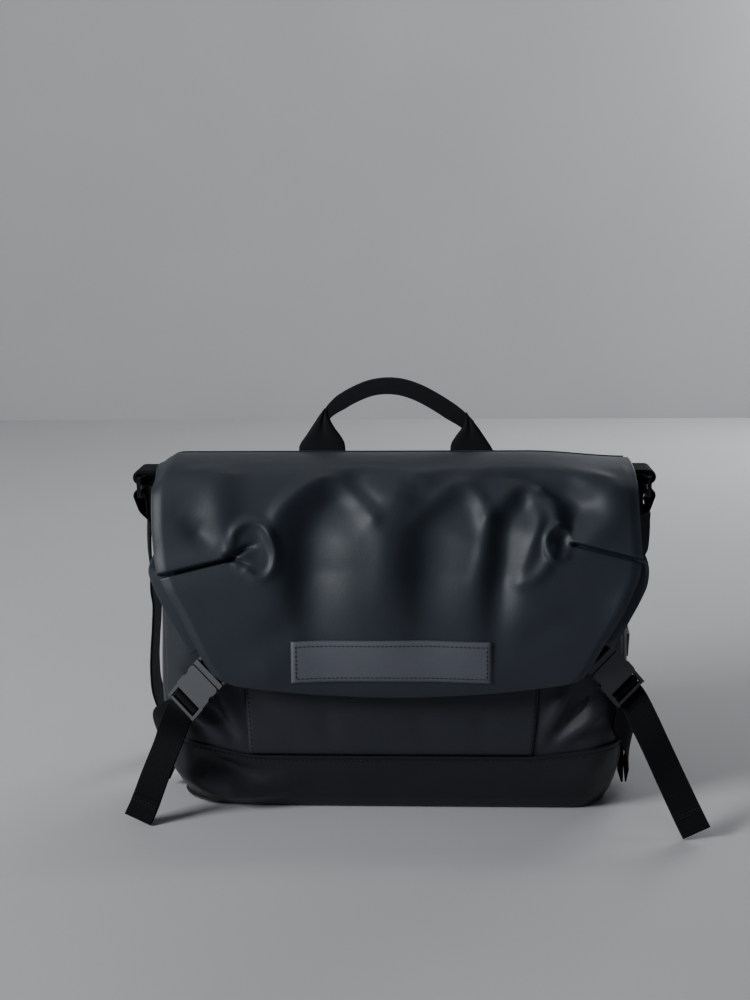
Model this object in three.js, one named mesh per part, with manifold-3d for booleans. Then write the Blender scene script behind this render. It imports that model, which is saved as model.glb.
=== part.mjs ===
// Messenger bag of coated fabric: a wedge-shaped body with a roll-over flap, two side-release
// buckles, a grab handle and a clip-on shoulder strap.
//
// Millimetres, +Z up. The front of the bag faces -Y and +X is to the right seen from the front.
// The origin is on the ground under the middle of the base. Left and right are as seen from the front.

import * as THREE from 'three';
import { mergeVertices } from 'three/addons/utils/BufferGeometryUtils.js';
import Module from 'manifold-3d';

const wasm = await Module();
wasm.setup();

// ---------------------------------------------------------------- driving dimensions

const GAP = 0.3; // left between pieces that touch

// body: outer face by height, straight between these sections
const BODY_SECTIONS = [
  { z: 0, halfWidth: 190, front: -54, back: 50 },
  { z: 12, halfWidth: 196, front: -60, back: 56 },
  { z: 60, halfWidth: 202, front: -60, back: 57 },
  { z: 100, halfWidth: 204, front: -55, back: 57 },
  { z: 150, halfWidth: 205, front: -50, back: 56 },
  { z: 200, halfWidth: 207, front: -44, back: 53 },
  { z: 250, halfWidth: 208, front: -33, back: 46 },
  { z: 300, halfWidth: 206, front: -18, back: 37 },
];
const BODY_CORNER_RADIUS = 38;
const FABRIC = 2; // coated fabric with its backing
const MOUTH_HEIGHT = 285;
const BOOT_HEIGHT = 52; // base panel's seam
const SIDE_SEAM_X = 166; // where the front and back panels meet the gussets
const LINING = 0.8;
const FOAM = 6;

const POCKET_HALF_WIDTH = 127;
const POCKET_LOW = 54;
const POCKET_HIGH = 200;
const POCKET_DEPTH = 12;

// flap: outer face in the YZ plane, from the hinge at the back to the lower edge in front
const FLAP_PROFILE = [
  [41.7, 299], [20, 303.4], [-5, 302.4], [-25, 296], [-42, 280], [-58, 250],
  [-68, 215], [-76, 180], [-80, 150], [-79, 125], [-75, 105],
];
const FLAP_THICKNESS = 3;
const FLAP_HALF_WIDTH = 206;
const FLAP_FOLD_Y = -25; // front top edge, where the front panel hinges
const FLAP_LOW = 109;
const RETURN_DEPTH = 18; // side edges turned back towards the body
const RETURN_LOW = 165;
const RETURN_HIGH = 275;

const PATCH = { width: 168, height: 36, thickness: 1.9, z: 142, y: -82 };

// grab handle, flat in the XZ plane
const HANDLE_Y = 48;
const HANDLE_THICKNESS = 6;
const HANDLE_FOOT_X = 66;
const HANDLE_FOOT_WIDTH = 40;
const HANDLE_LOW = 299.4;
const HANDLE_TOP = 367;
const HANDLE_BAND = 16;

// webbing
const WEB_WIDTH = 25;
const WEB_THICKNESS = 1.6;
const STRAP_WIDTH = 38;
const STRAP_THICKNESS = 2.2;

// side-release buckle, in its own frame: x across, y towards the flap, z outwards
const BUCKLE_HALF_WIDTH = 16;
const HOUSING_LENGTH = 24;
const HOUSING_HALF_HEIGHT = 5.5;
const FRAME_LENGTH = 14;
const LADDER_BAR_Y = -6;
const LADDER_BAR_RADIUS = 1.8;
const BUCKLE_ORIGIN = {
  left: new THREE.Vector3(-172.5, -62.6, 106),
  right: new THREE.Vector3(193.2, -62.2, 120),
};
const BUCKLE_ALONG = new THREE.Vector3(-0.64, -0.05, 0.76).normalize(); // of the right buckle
const BUCKLE_OUTWARD = new THREE.Vector3(0.34, -0.93, 0.12);

// webbing loop and ring at each top corner
const HANGER_X = 221;
const HANGER_Y = 14;
const RING_BAR_Z = 285;
const RING_HEIGHT = 16; // bar to bar
const RING_SECTION = 3.6;
const TAB_WIDTH = 34;

// ---------------------------------------------------------------- materials

function material(name, color, roughness, metalness = 0) {
  return new THREE.MeshStandardMaterial({ name, color, roughness, metalness });
}
const COATED = () => material('coated_fabric', 0x23272d, 0.55);
const PATCH_SKIN = () => material('patch_leather', 0x3a3d42, 0.6);
const WEBBING = () => material('webbing', 0x131418, 0.85);
const LINING_CLOTH = () => material('lining_cloth', 0x1f2124, 0.9);
const PLASTIC = () => material('buckle_plastic', 0x1b1d21, 0.4);
const METAL = () => material('black_metal', 0x202226, 0.35, 0.9);
const BOARD = () => material('stiffener', 0x2a2a2a, 0.8);

// ---------------------------------------------------------------- geometry helpers

// Sets which world axes a shape's x, its y and its extrusion run along.
function turned(geometry, xAxis, yAxis, zAxis) {
  return geometry.applyMatrix4(new THREE.Matrix4().makeBasis(xAxis, yAxis, zAxis));
}

const X = new THREE.Vector3(1, 0, 0);
const Y = new THREE.Vector3(0, 1, 0);
const Z = new THREE.Vector3(0, 0, 1);

function extruded(shape, low, high, curveSegments = 8) {
  const geometry = new THREE.ExtrudeGeometry(shape, {
    depth: high - low,
    bevelEnabled: false,
    curveSegments,
  });
  return geometry.translate(0, 0, low);
}

// The shape's x and y become the world's y and z.
function extrudedAlongX(shape, low, high) {
  return turned(extruded(shape, low, high), Y, Z, X);
}

// The shape's x and y become the world's x and z.
function extrudedAlongY(shape, low, high) {
  return turned(extruded(shape, -high, -low), X, Z, Y.clone().negate());
}

function polygon(points) {
  return new THREE.Shape(points.map(([x, y]) => new THREE.Vector2(x, y)));
}

function roundedRectangle(x0, y0, x1, y1, radius) {
  const shape = new THREE.Shape();
  shape.moveTo(x0 + radius, y0);
  shape.absarc(x1 - radius, y0 + radius, radius, -Math.PI / 2, 0);
  shape.absarc(x1 - radius, y1 - radius, radius, 0, Math.PI / 2);
  shape.absarc(x0 + radius, y1 - radius, radius, Math.PI / 2, Math.PI);
  shape.absarc(x0 + radius, y0 + radius, radius, Math.PI, Math.PI * 1.5);
  return shape;
}

function box(x0, y0, z0, x1, y1, z1) {
  const geometry = new THREE.BoxGeometry(x1 - x0, y1 - y0, z1 - z0);
  return geometry.translate((x0 + x1) / 2, (y0 + y1) / 2, (z0 + z1) / 2);
}

function solid(geometry) {
  const bare = geometry.clone();
  bare.deleteAttribute('normal');
  bare.deleteAttribute('uv');
  const merged = mergeVertices(bare, 1e-4);
  return new wasm.Manifold(
    new wasm.Mesh({
      numProp: 3,
      vertProperties: new Float32Array(merged.attributes.position.array),
      triVerts: new Uint32Array(merged.index.array),
    }),
  );
}

function geometryOf(manifold) {
  const mesh = manifold.getMesh();
  const geometry = new THREE.BufferGeometry();
  geometry.setAttribute('position', new THREE.BufferAttribute(new Float32Array(mesh.vertProperties), 3));
  geometry.setIndex(new THREE.BufferAttribute(new Uint32Array(mesh.triVerts), 1));
  geometry.computeVertexNormals();
  return geometry;
}

function closedGeometry(points, faces) {
  const geometry = new THREE.BufferGeometry();
  geometry.setAttribute('position', new THREE.Float32BufferAttribute(points.flatMap((p) => p.toArray()), 3));
  geometry.setIndex(faces.flat());
  geometry.computeVertexNormals();
  return geometry;
}

// Joins rings of equal length, each counter-clockwise seen from the next. Both ends are closed,
// unless the last ring is joined back to the first.
function lofted(rings, joinedBack = false) {
  const count = rings[0].length;
  const points = rings.flat();
  const faces = [];
  const bands = joinedBack ? rings.length : rings.length - 1;
  for (let level = 0; level < bands; level += 1) {
    const here = level * count;
    const next = ((level + 1) % rings.length) * count;
    for (let i = 0; i < count; i += 1) {
      const j = (i + 1) % count;
      faces.push([here + i, here + j, next + j], [here + i, next + j, next + i]);
    }
  }
  if (joinedBack) {
    return closedGeometry(points, faces);
  }
  const last = (rings.length - 1) * count;
  for (const [ring, first, turn] of [[rings[0], 0, -1], [rings.at(-1), last, 1]]) {
    const centre = ring.reduce((sum, p) => sum.add(p), new THREE.Vector3()).divideScalar(count);
    points.push(centre);
    for (let i = 0; i < count; i += 1) {
      const edge = [first + i, first + ((i + 1) % count)];
      faces.push(turn > 0 ? [...edge, points.length - 1] : [...edge.reverse(), points.length - 1]);
    }
  }
  return closedGeometry(points, faces);
}

// A flat strap along the centres. across gives its width direction at each centre.
function ribbon(centres, across, width, thickness) {
  const rings = centres.map((centre, i) => {
    const before = centres[Math.max(i - 1, 0)];
    const after = centres[Math.min(i + 1, centres.length - 1)];
    const along = after.clone().sub(before).normalize();
    const side = across(i / (centres.length - 1)).clone();
    side.addScaledVector(along, -side.dot(along)).normalize();
    const up = along.clone().cross(side);
    const corners = [[-1, -1], [1, -1], [1, 1], [-1, 1]];
    return corners.map(([s, u]) => centre.clone()
      .addScaledVector(side, (s * width) / 2)
      .addScaledVector(up, (u * thickness) / 2));
  });
  return lofted(rings);
}

function curvePoints(points, count) {
  return new THREE.CatmullRomCurve3(points, false, 'centripetal').getSpacedPoints(count);
}

// Points of a half turn in a strap round a bar, in a plane given by two directions.
function halfTurn(centre, radius, from, towards, steps = 6) {
  return Array.from({ length: steps + 1 }, (_, i) => {
    const angle = (Math.PI * i) / steps;
    return centre.clone()
      .addScaledVector(from, radius * Math.cos(angle))
      .addScaledVector(towards, radius * Math.sin(angle));
  });
}

// ---------------------------------------------------------------- the object

const group = new THREE.Group();

function add(name, geometry, look, parent = group) {
  const mesh = new THREE.Mesh(geometry, look());
  mesh.name = name;
  parent.add(mesh);
  return mesh;
}

function sides(build) {
  for (const [side, sign] of [['left', -1], ['right', 1]]) {
    build(side, sign);
  }
}

// ---------------------------------------------------------------- body

function bodySection(z) {
  const above = Math.max(1, BODY_SECTIONS.findIndex((section) => section.z >= z));
  const [low, high] = [BODY_SECTIONS[above - 1], BODY_SECTIONS[above]];
  const share = (z - low.z) / (high.z - low.z);
  const mixed = (key) => THREE.MathUtils.lerp(low[key], high[key], share);
  return { halfWidth: mixed('halfWidth'), front: mixed('front'), back: mixed('back') };
}

function bodyRing(z, outset) {
  const { halfWidth, front, back } = bodySection(z);
  const radius = Math.min(BODY_CORNER_RADIUS, (back - front) / 2 - 1) + outset;
  const reach = halfWidth + outset - radius;
  const corners = [
    [reach, back + outset - radius, 0],
    [-reach, back + outset - radius, 90],
    [-reach, front - outset + radius, 180],
    [reach, front - outset + radius, 270],
  ];
  const steps = 6;
  return corners.flatMap(([x, y, start]) => Array.from({ length: steps + 1 }, (_, i) => {
    const angle = THREE.MathUtils.degToRad(start + (90 * i) / steps);
    return new THREE.Vector3(x + radius * Math.cos(angle), y + radius * Math.sin(angle), z);
  }));
}

function bodyRings(outset, low, high) {
  const between = BODY_SECTIONS.map((section) => section.z).filter((z) => z > low && z < high);
  return [low, ...between, high].map((z) => bodyRing(z, outset));
}

// The body's outer form grown by outset, between two heights.
function bodyForm(outset, low, high) {
  return solid(lofted(bodyRings(outset, low, high)));
}

function region(x0, y0, z0, x1, y1, z1) {
  return solid(box(x0, y0, z0, x1, y1, z1));
}

const FAR = 400;
const ABOVE = MOUTH_HEIGHT + 10;

function addBody() {
  const shell = bodyForm(0, 0, MOUTH_HEIGHT).subtract(bodyForm(-FABRIC, FABRIC, ABOVE));
  const seam = SIDE_SEAM_X - GAP / 2;
  const boot = BOOT_HEIGHT + GAP;
  const cut = (...corners) => geometryOf(shell.intersect(region(...corners)));
  add('base_panel', cut(-FAR, -FAR, -1, FAR, FAR, BOOT_HEIGHT), COATED);
  add('front_panel', cut(-seam, -FAR, boot, seam, 0, FAR), COATED);
  add('back_panel', cut(-seam, 0, boot, seam, FAR, FAR), COATED);
  add('gusset_left', cut(-FAR, -FAR, boot, -seam - GAP, FAR, FAR), COATED);
  add('gusset_right', cut(seam + GAP, -FAR, boot, FAR, FAR, FAR), COATED);

  const liningOut = FABRIC + 0.5;
  const liningTop = MOUTH_HEIGHT - 0.4;
  const lining = lofted([
    ...bodyRings(-liningOut, liningOut, liningTop),
    ...bodyRings(-liningOut - LINING, liningOut + LINING, liningTop).reverse(),
  ]);
  add('lining', lining, LINING_CLOTH);

  const inside = liningOut + LINING + GAP;
  const board = bodyForm(-inside - 2.4, inside + 0.2, inside + 3.2);
  add('base_board', geometryOf(board), BOARD);

  const foam = bodyForm(-inside, inside + 4, MOUTH_HEIGHT - 10)
    .subtract(bodyForm(-inside - FOAM, 0, ABOVE))
    .intersect(region(-seam, 10, 0, seam, FAR, FAR));
  add('back_foam', geometryOf(foam), LINING_CLOTH);

  const divider = roundedRectangle(-184, inside + 4, 184, MOUTH_HEIGHT - 35, 18);
  add('laptop_divider', extrudedAlongY(divider, 18, 18 + FOAM), LINING_CLOTH);

  const bindingSection = [[1, 1.1], [1, 2.8], [-1.5, 3.8], [-4, 2.8], [-4, 1.1], [-1.5, GAP]];
  const binding = bindingSection.map(([outset, rise]) => bodyRing(MOUTH_HEIGHT + rise, outset));
  add('rim_binding', lofted(binding, true), WEBBING);
}

function addPocket() {
  const face = FABRIC;
  const tray = bodyForm(POCKET_DEPTH, 0, ABOVE)
    .intersect(region(-POCKET_HALF_WIDTH, -FAR, POCKET_LOW, POCKET_HALF_WIDTH, 0, POCKET_HIGH));
  const hollow = bodyForm(POCKET_DEPTH - face, 0, ABOVE)
    .intersect(region(face - POCKET_HALF_WIDTH, -FAR, POCKET_LOW + face, POCKET_HALF_WIDTH - face, 0, FAR));
  const panel = tray.subtract(hollow).subtract(bodyForm(0.4, 0, ABOVE));
  add('pocket_panel', geometryOf(panel), COATED);
}

// ---------------------------------------------------------------- flap

const flapCurve = new THREE.SplineCurve(FLAP_PROFILE.map(([y, z]) => new THREE.Vector2(y, z)));

// The flap's profile line moved inwards by depth.
function flapLine(depth) {
  const steps = 26;
  return Array.from({ length: steps + 1 }, (_, i) => {
    const along = flapCurve.getTangent(i / steps);
    const at = flapCurve.getPoint(i / steps);
    return [at.x - along.y * depth, at.y + along.x * depth];
  });
}

// A layer that follows the flap's profile, from one depth under its face to another.
function flapLayer(from, to, halfWidth) {
  const outline = [...flapLine(from), ...flapLine(to).reverse()];
  return solid(extrudedAlongX(polygon(outline), -halfWidth, halfWidth));
}

// The flap's outline seen from the front, drawn in by inset at its sides and lower edge.
function flapOutline(inset) {
  const shape = new THREE.Shape();
  const right = FLAP_HALF_WIDTH - inset;
  shape.moveTo(-right, 320);
  shape.lineTo(-right, 228);
  shape.quadraticCurveTo(-right, 214, -right + 5, 204);
  shape.lineTo(-right + 44, 131 + inset);
  shape.quadraticCurveTo(-right + 56, FLAP_LOW + inset, -right + 80, FLAP_LOW + inset);
  shape.lineTo(right - 80, FLAP_LOW + inset);
  shape.quadraticCurveTo(right - 56, FLAP_LOW + inset, right - 44, 131 + inset);
  shape.lineTo(right - 5, 204);
  shape.quadraticCurveTo(right, 214, right, 228);
  shape.lineTo(right, 320);
  return solid(extrudedAlongY(shape, -FAR, FAR));
}

function addFlap() {
  const edge = 2.4;
  const sheet = flapLayer(0, FLAP_THICKNESS, FLAP_HALF_WIDTH + 1).intersect(flapOutline(0));
  const top = sheet.intersect(region(-FAR, FLAP_FOLD_Y + 0.2, 0, FAR, FAR, FAR));
  const front = sheet.intersect(region(-FAR, -FAR, 0, FAR, FLAP_FOLD_Y - 0.2, FAR));
  const returns = flapLayer(1, RETURN_DEPTH, FLAP_HALF_WIDTH + 1)
    .intersect(flapOutline(0).subtract(flapOutline(edge)))
    .intersect(region(-FAR, -FAR, RETURN_LOW, FAR, FLAP_FOLD_Y - 1, RETURN_HIGH));
  add('flap_top_panel', geometryOf(top), COATED);
  add('flap_front_panel', geometryOf(front.add(returns)), COATED);
  add('flap_hem', box(-200, 36.4, MOUTH_HEIGHT + 4, 200, 40.6, 295.4), COATED);

  const patch = roundedRectangle(-PATCH.width / 2, -PATCH.height / 2, PATCH.width / 2, PATCH.height / 2, 1.5);
  const halfPatch = PATCH.thickness / 2;
  const plate = add('label_patch', extrudedAlongY(patch, -halfPatch, halfPatch), PATCH_SKIN);
  plate.position.set(0, PATCH.y, PATCH.z);
}

// ---------------------------------------------------------------- grab handle

function addHandle() {
  const foot = HANDLE_FOOT_WIDTH / 2;
  const outer = HANDLE_FOOT_X + foot;
  const inner = HANDLE_FOOT_X - foot;
  const shape = new THREE.Shape();
  shape.moveTo(-outer + 2, HANDLE_LOW);
  shape.lineTo(-outer + 1, HANDLE_LOW + 5);
  shape.lineTo(-HANDLE_FOOT_X - 1, HANDLE_TOP - 33);
  shape.bezierCurveTo(-54, HANDLE_TOP - 10, -30, HANDLE_TOP, 0, HANDLE_TOP);
  shape.bezierCurveTo(30, HANDLE_TOP, 54, HANDLE_TOP - 10, HANDLE_FOOT_X + 1, HANDLE_TOP - 33);
  shape.lineTo(outer - 1, HANDLE_LOW + 5);
  shape.lineTo(outer - 2, HANDLE_LOW);
  shape.lineTo(inner + 1, HANDLE_LOW);
  shape.lineTo(inner + 2, HANDLE_LOW + 7);
  shape.lineTo(HANDLE_FOOT_X - 9, HANDLE_LOW + 20);
  const gripLow = HANDLE_TOP - HANDLE_BAND;
  shape.bezierCurveTo(47, HANDLE_TOP - 26, 26, gripLow, 0, gripLow);
  shape.bezierCurveTo(-26, gripLow, -47, HANDLE_TOP - 26, -HANDLE_FOOT_X + 9, HANDLE_LOW + 20);
  shape.lineTo(-inner - 2, HANDLE_LOW + 7);
  shape.lineTo(-inner - 1, HANDLE_LOW);
  const half = HANDLE_THICKNESS / 2;
  add('handle', extrudedAlongY(shape, HANDLE_Y - half, HANDLE_Y + half), WEBBING);
  sides((side, sign) => {
    const anchor = roundedRectangle(-foot + 1, 262, foot - 1, 294.2, 2);
    const mesh = add(`handle_anchor_${side}`, extrudedAlongY(anchor, HANDLE_Y - 1, HANDLE_Y + 2), WEBBING);
    mesh.position.x = sign * HANDLE_FOOT_X;
  });
}

// ---------------------------------------------------------------- side-release buckles

function bar(length, radius, y) {
  const cylinder = new THREE.CylinderGeometry(radius, radius, length, 14);
  return cylinder.rotateZ(Math.PI / 2).translate(0, y, 0);
}

function femaleHousing() {
  const w = BUCKLE_HALF_WIDTH;
  const outline = roundedRectangle(-w, 0, w, HOUSING_LENGTH, 3);
  let piece = solid(extruded(outline, -HOUSING_HALF_HEIGHT, HOUSING_HALF_HEIGHT));
  piece = piece.subtract(solid(box(-13.2, 3, -3.2, 13.2, HOUSING_LENGTH + 1, 3.2)));
  for (const sign of [-1, 1]) {
    const scallop = new THREE.CylinderGeometry(5, 5, 20, 24).rotateX(Math.PI / 2);
    const window = box(-3, 9, -3.2, 3, 19, 3.2).translate(sign * 14.6, 0, 0);
    const rail = box(-1.35, -FRAME_LENGTH, -2.2, 1.35, 1, 2.2).translate(sign * (w - 1.35), 0, 0);
    piece = piece
      .subtract(solid(scallop.translate(sign * 19.5, 14, 0)))
      .subtract(solid(window))
      .add(solid(rail));
  }
  const endBar = box(-w, -FRAME_LENGTH, -1.6, w, -FRAME_LENGTH + 2.6, 1.6);
  return piece
    .add(solid(endBar))
    .add(solid(bar(2 * w - 1, LADDER_BAR_RADIUS, LADDER_BAR_Y)));
}

const MALE = { low: 24.6, slotLow: 29.5, slotHigh: 34.5, high: 38 };

function maleBase() {
  const w = BUCKLE_HALF_WIDTH;
  const shoulder = box(-w, MALE.low, -4.5, w, MALE.slotLow, 4.5);
  const loop = solid(box(-w, MALE.slotLow - 1, -2.4, w, MALE.high, 2.4))
    .subtract(solid(box(-13.4, MALE.slotLow, -5, 13.4, MALE.slotHigh, 5)));
  const tongue = box(-3, 6, -2.6, 3, MALE.low + 1, 2.6);
  return solid(shoulder).add(loop).add(solid(tongue));
}

function prong(sign) {
  const outline = [
    [6.6, 24.3], [6.6, 9.5], [8, 8], [9.8, 8], [15.2, 12.5], [15.2, 15.5],
    [13, 18], [9.4, 18], [9.4, 24.3],
  ].map(([x, y]) => [sign * x, y]);
  return extruded(polygon(sign > 0 ? outline.reverse() : outline), -2.6, 2.6);
}

// The webbing that ties the male half to the flap: a loop round the bar beyond its slot.
function buckleTab() {
  const turn = 4.4;
  const middle = (MALE.slotHigh + MALE.high) / 2;
  const upper = [[60, 4.4], [48, 4.6]].map(([y, z]) => new THREE.Vector3(0, y, z));
  const round = halfTurn(new THREE.Vector3(0, middle, 0), turn, Z, Y.clone().negate());
  const lower = [[48, -2.6], [60, 1.6]].map(([y, z]) => new THREE.Vector3(0, y, z));
  return ribbon([...upper, ...round, ...lower], () => X, WEB_WIDTH, WEB_THICKNESS);
}

// The buckle's own frame: x across, y towards the flap, z outwards from the bag.
function buckleFrame(side, sign) {
  const mirror = new THREE.Vector3(sign, 1, 1);
  const along = BUCKLE_ALONG.clone().multiply(mirror);
  const outward = BUCKLE_OUTWARD.clone().multiply(mirror);
  outward.addScaledVector(along, -outward.dot(along)).normalize();
  const across = along.clone().cross(outward);
  return new THREE.Matrix4().makeBasis(across, along, outward).setPosition(BUCKLE_ORIGIN[side]);
}

function addBuckles() {
  sides((side, sign) => {
    const holder = new THREE.Group();
    holder.applyMatrix4(buckleFrame(side, sign));
    group.add(holder);
    add(`buckle_female_${side}`, geometryOf(femaleHousing()), PLASTIC, holder);
    add(`buckle_male_${side}`, geometryOf(maleBase()), PLASTIC, holder);
    add(`buckle_prong_${side}_a`, prong(-1), PLASTIC, holder);
    add(`buckle_prong_${side}_b`, prong(1), PLASTIC, holder);
    add(`buckle_tab_${side}`, buckleTab(), WEBBING, holder);
  });
}

// ---------------------------------------------------------------- side straps

const TAIL = {
  left: [[-190, -76, 72], [-203, -81, 40], [-212, -87, 16], [-217, -91, 5.2]],
  right: [[219, -77, 76], [235, -89, 42], [247, -102, 17], [253, -109, 5.2]],
};

// From the anchor at the base seam, up round the corner and under the buckle's end bar, over its
// ladder bar, and back under the end bar as a tail.
function addSideStraps() {
  const turn = LADDER_BAR_RADIUS + 0.3 + WEB_THICKNESS / 2;
  sides((side, sign) => {
    const frame = buckleFrame(side, sign);
    const placed = (y, z) => new THREE.Vector3(0, y, z).applyMatrix4(frame);
    const rising = [[208.4, 2, 13], [209, -8, 30], [207.5, -26, 54], [200, -45, 79]]
      .map(([x, y, z]) => new THREE.Vector3(sign * x, y, z));
    const round = halfTurn(new THREE.Vector3(0, LADDER_BAR_Y, 0), turn, Y, Z)
      .map((p) => p.applyMatrix4(frame));
    const tail = TAIL[side].map((p) => new THREE.Vector3(...p));
    const centres = [
      ...curvePoints([...rising, placed(-18, -6.4)], 14),
      placed(-10, -5.8),
      placed(-4.6, -3.6),
      ...round,
      placed(-9.8, -2),
      ...curvePoints([placed(-12.7, -3.2), placed(-18, -3.4), ...tail], 16),
    ];
    const atAnchor = new THREE.Vector3(0, -1, 0);
    const atBuckle = new THREE.Vector3(1, 0, 0).transformDirection(frame).multiplyScalar(-sign);
    const atTip = new THREE.Vector3(-sign * 0.85, -0.45, -0.2);
    const across = (t) => {
      const early = THREE.MathUtils.smoothstep(t, 0.05, 0.32);
      const late = THREE.MathUtils.smoothstep(t, 0.7, 0.98);
      return atAnchor.clone().lerp(atBuckle, early).lerp(atTip, late);
    };
    add(`side_strap_${side}`, ribbon(centres, across, WEB_WIDTH, WEB_THICKNESS), WEBBING);
    const patch = roundedRectangle(-14, 8, 14, 40, 2);
    const anchor = turned(extruded(patch, -0.9, 0.9), Y, Z, X).translate(sign * 204, 2, 0);
    add(`strap_anchor_${side}`, anchor, WEBBING);
  });
}

// ---------------------------------------------------------------- top corners: webbing loops and rings

function addHangers() {
  sides((side, sign) => {
    const turn = 3.4 + 1;
    const barCentre = new THREE.Vector3(sign * HANGER_X, HANGER_Y, RING_BAR_Z);
    const out = new THREE.Vector3(sign, 0, 0);
    const sewn = sign * 208.4;
    const tab = [
      new THREE.Vector3(sewn, HANGER_Y, RING_BAR_Z + turn),
      ...halfTurn(barCentre, turn, Z, out),
      new THREE.Vector3(sewn, HANGER_Y, RING_BAR_Z - turn - 1),
    ];
    add(`corner_tab_${side}`, ribbon(tab, () => Y, TAB_WIDTH, 2), WEBBING);

    // the ring is a rectangle in the YZ plane
    const half = RING_SECTION / 2;
    const inner = STRAP_WIDTH / 2 + 0.7;
    const ring = roundedRectangle(-inner - half * 2, -RING_HEIGHT - half, inner + half * 2, half, 4);
    ring.holes.push(roundedRectangle(-inner, -RING_HEIGHT + half, inner, -half, 2));
    const ringMesh = add(`ring_${side}`, extrudedAlongX(ring, -half, half), METAL);
    ringMesh.position.copy(barCentre);
  });
}

// ---------------------------------------------------------------- shoulder strap

const STRAP_TURN = 5.4;

// The strap hangs from the left ring, passes along the side and behind the body on the ground,
// and rises to the right ring. Each end is turned over its ring's lower bar and sewn to itself.
const STRAP_LEFT = [
  [-215.6, 14.5, 257], [-218.5, 17, 238], [-220.5, 23, 215], [-221.5, 32, 190], [-219.5, 41, 165],
  [-222, 48, 140], [-225.5, 54, 115], [-228, 60, 91], [-228, 68, 66], [-221, 76, 40],
  [-204, 82.5, 19], [-178, 86, 8], [-145, 89, 3.4], [-100, 92, 2.2],
];
const STRAP_BACK = [[-50, 94, 2.2], [0, 95, 2.2], [50, 94, 2.2], [100, 92, 2.2]];
const STRAP_RIGHT = [
  [140, 91, 4.5], [165, 89, 12], [184, 86.5, 27], [197, 83, 44], [206, 79, 62], [210, 74.5, 80],
  [211, 70.4, 96], [211, 66.2, 111], [211, 62, 126], [211, 57.8, 141], [211, 53.6, 156],
  [213.5, 47, 174], [217, 36, 194], [218.5, 25, 215], [218, 17, 238], [215.6, 14.5, 257],
];
const SLIDER_CENTRE = new THREE.Vector3(211, 62, 126);
const SLIDER_UP = new THREE.Vector3(0, -16.8, 60).normalize();

function strapEnd(sign) {
  const ringBar = new THREE.Vector3(sign * HANGER_X, HANGER_Y, RING_BAR_Z - RING_HEIGHT);
  const folded = [[-3, 17, 236], [-2.6, 15.6, 246], [1.5, 14.4, 257]]
    .map(([out, y, z]) => new THREE.Vector3(sign * (HANGER_X + out), y, z));
  return [...folded, ...halfTurn(ringBar, STRAP_TURN, new THREE.Vector3(sign, 0, 0), Z)];
}

function addShoulderStrap() {
  const run = [...STRAP_LEFT, ...STRAP_BACK, ...STRAP_RIGHT].map((p) => new THREE.Vector3(...p));
  const centres = [...strapEnd(-1), ...curvePoints(run, 70), ...strapEnd(1).reverse()];
  add('shoulder_strap', ribbon(centres, () => Y, STRAP_WIDTH, STRAP_THICKNESS), WEBBING);

  // slider: end bars in front of the strap, middle bar behind it
  const outer = STRAP_WIDTH / 2 + 4;
  const inner = STRAP_WIDTH / 2 + 0.8;
  const clear = STRAP_THICKNESS / 2 + 0.5;
  const rails = [-1, 1].map((sign) => box(-1.6, -12, -clear - 2, 1.6, 12, clear + 2)
    .translate(sign * (inner + 1.6), 0, 0));
  const endBars = [-1, 1].map((sign) => box(-outer, -1.7, clear, outer, 1.7, clear + 2)
    .translate(0, sign * 10.3, 0));
  const middleBar = box(-outer, -1.7, -clear - 2, outer, 1.7, -clear);
  const slider = [...rails, ...endBars, middleBar].map(solid).reduce((whole, next) => whole.add(next));
  const mesh = add('strap_slider', geometryOf(slider), PLASTIC);
  const basis = new THREE.Matrix4().makeBasis(SLIDER_UP.clone().cross(X), SLIDER_UP, X);
  mesh.quaternion.setFromRotationMatrix(basis);
  mesh.position.copy(SLIDER_CENTRE);
}

addBody();
addPocket();
addFlap();
addHandle();
addBuckles();
addSideStraps();
addHangers();
addShoulderStrap();

export default group;
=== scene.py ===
"""Messenger bag of coated fabric: the looks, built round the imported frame.

Shapes are worked out in millimetres in the bag's own frame (front -Y, +X right, +Z up, origin on the
ground under the base) and become metres when a mesh is made.
"""

import math

import bpy
import numpy as np
from mathutils import Matrix, Vector


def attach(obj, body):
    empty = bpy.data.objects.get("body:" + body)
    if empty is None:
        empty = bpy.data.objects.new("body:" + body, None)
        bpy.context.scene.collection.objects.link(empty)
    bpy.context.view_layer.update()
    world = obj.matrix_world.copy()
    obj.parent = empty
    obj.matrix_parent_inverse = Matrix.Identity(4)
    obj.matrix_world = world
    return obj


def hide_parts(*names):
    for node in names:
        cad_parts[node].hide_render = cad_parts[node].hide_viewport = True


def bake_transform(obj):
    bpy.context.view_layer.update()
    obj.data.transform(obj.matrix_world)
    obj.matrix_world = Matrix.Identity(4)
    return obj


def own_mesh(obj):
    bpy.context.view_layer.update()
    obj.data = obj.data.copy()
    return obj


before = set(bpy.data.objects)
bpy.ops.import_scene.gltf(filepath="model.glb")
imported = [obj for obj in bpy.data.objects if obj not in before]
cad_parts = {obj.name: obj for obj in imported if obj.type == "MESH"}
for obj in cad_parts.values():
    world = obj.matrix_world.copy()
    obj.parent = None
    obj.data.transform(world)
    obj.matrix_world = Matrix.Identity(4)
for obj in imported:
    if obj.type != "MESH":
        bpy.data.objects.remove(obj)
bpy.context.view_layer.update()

MM = 0.001

# ---- main sizes

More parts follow.
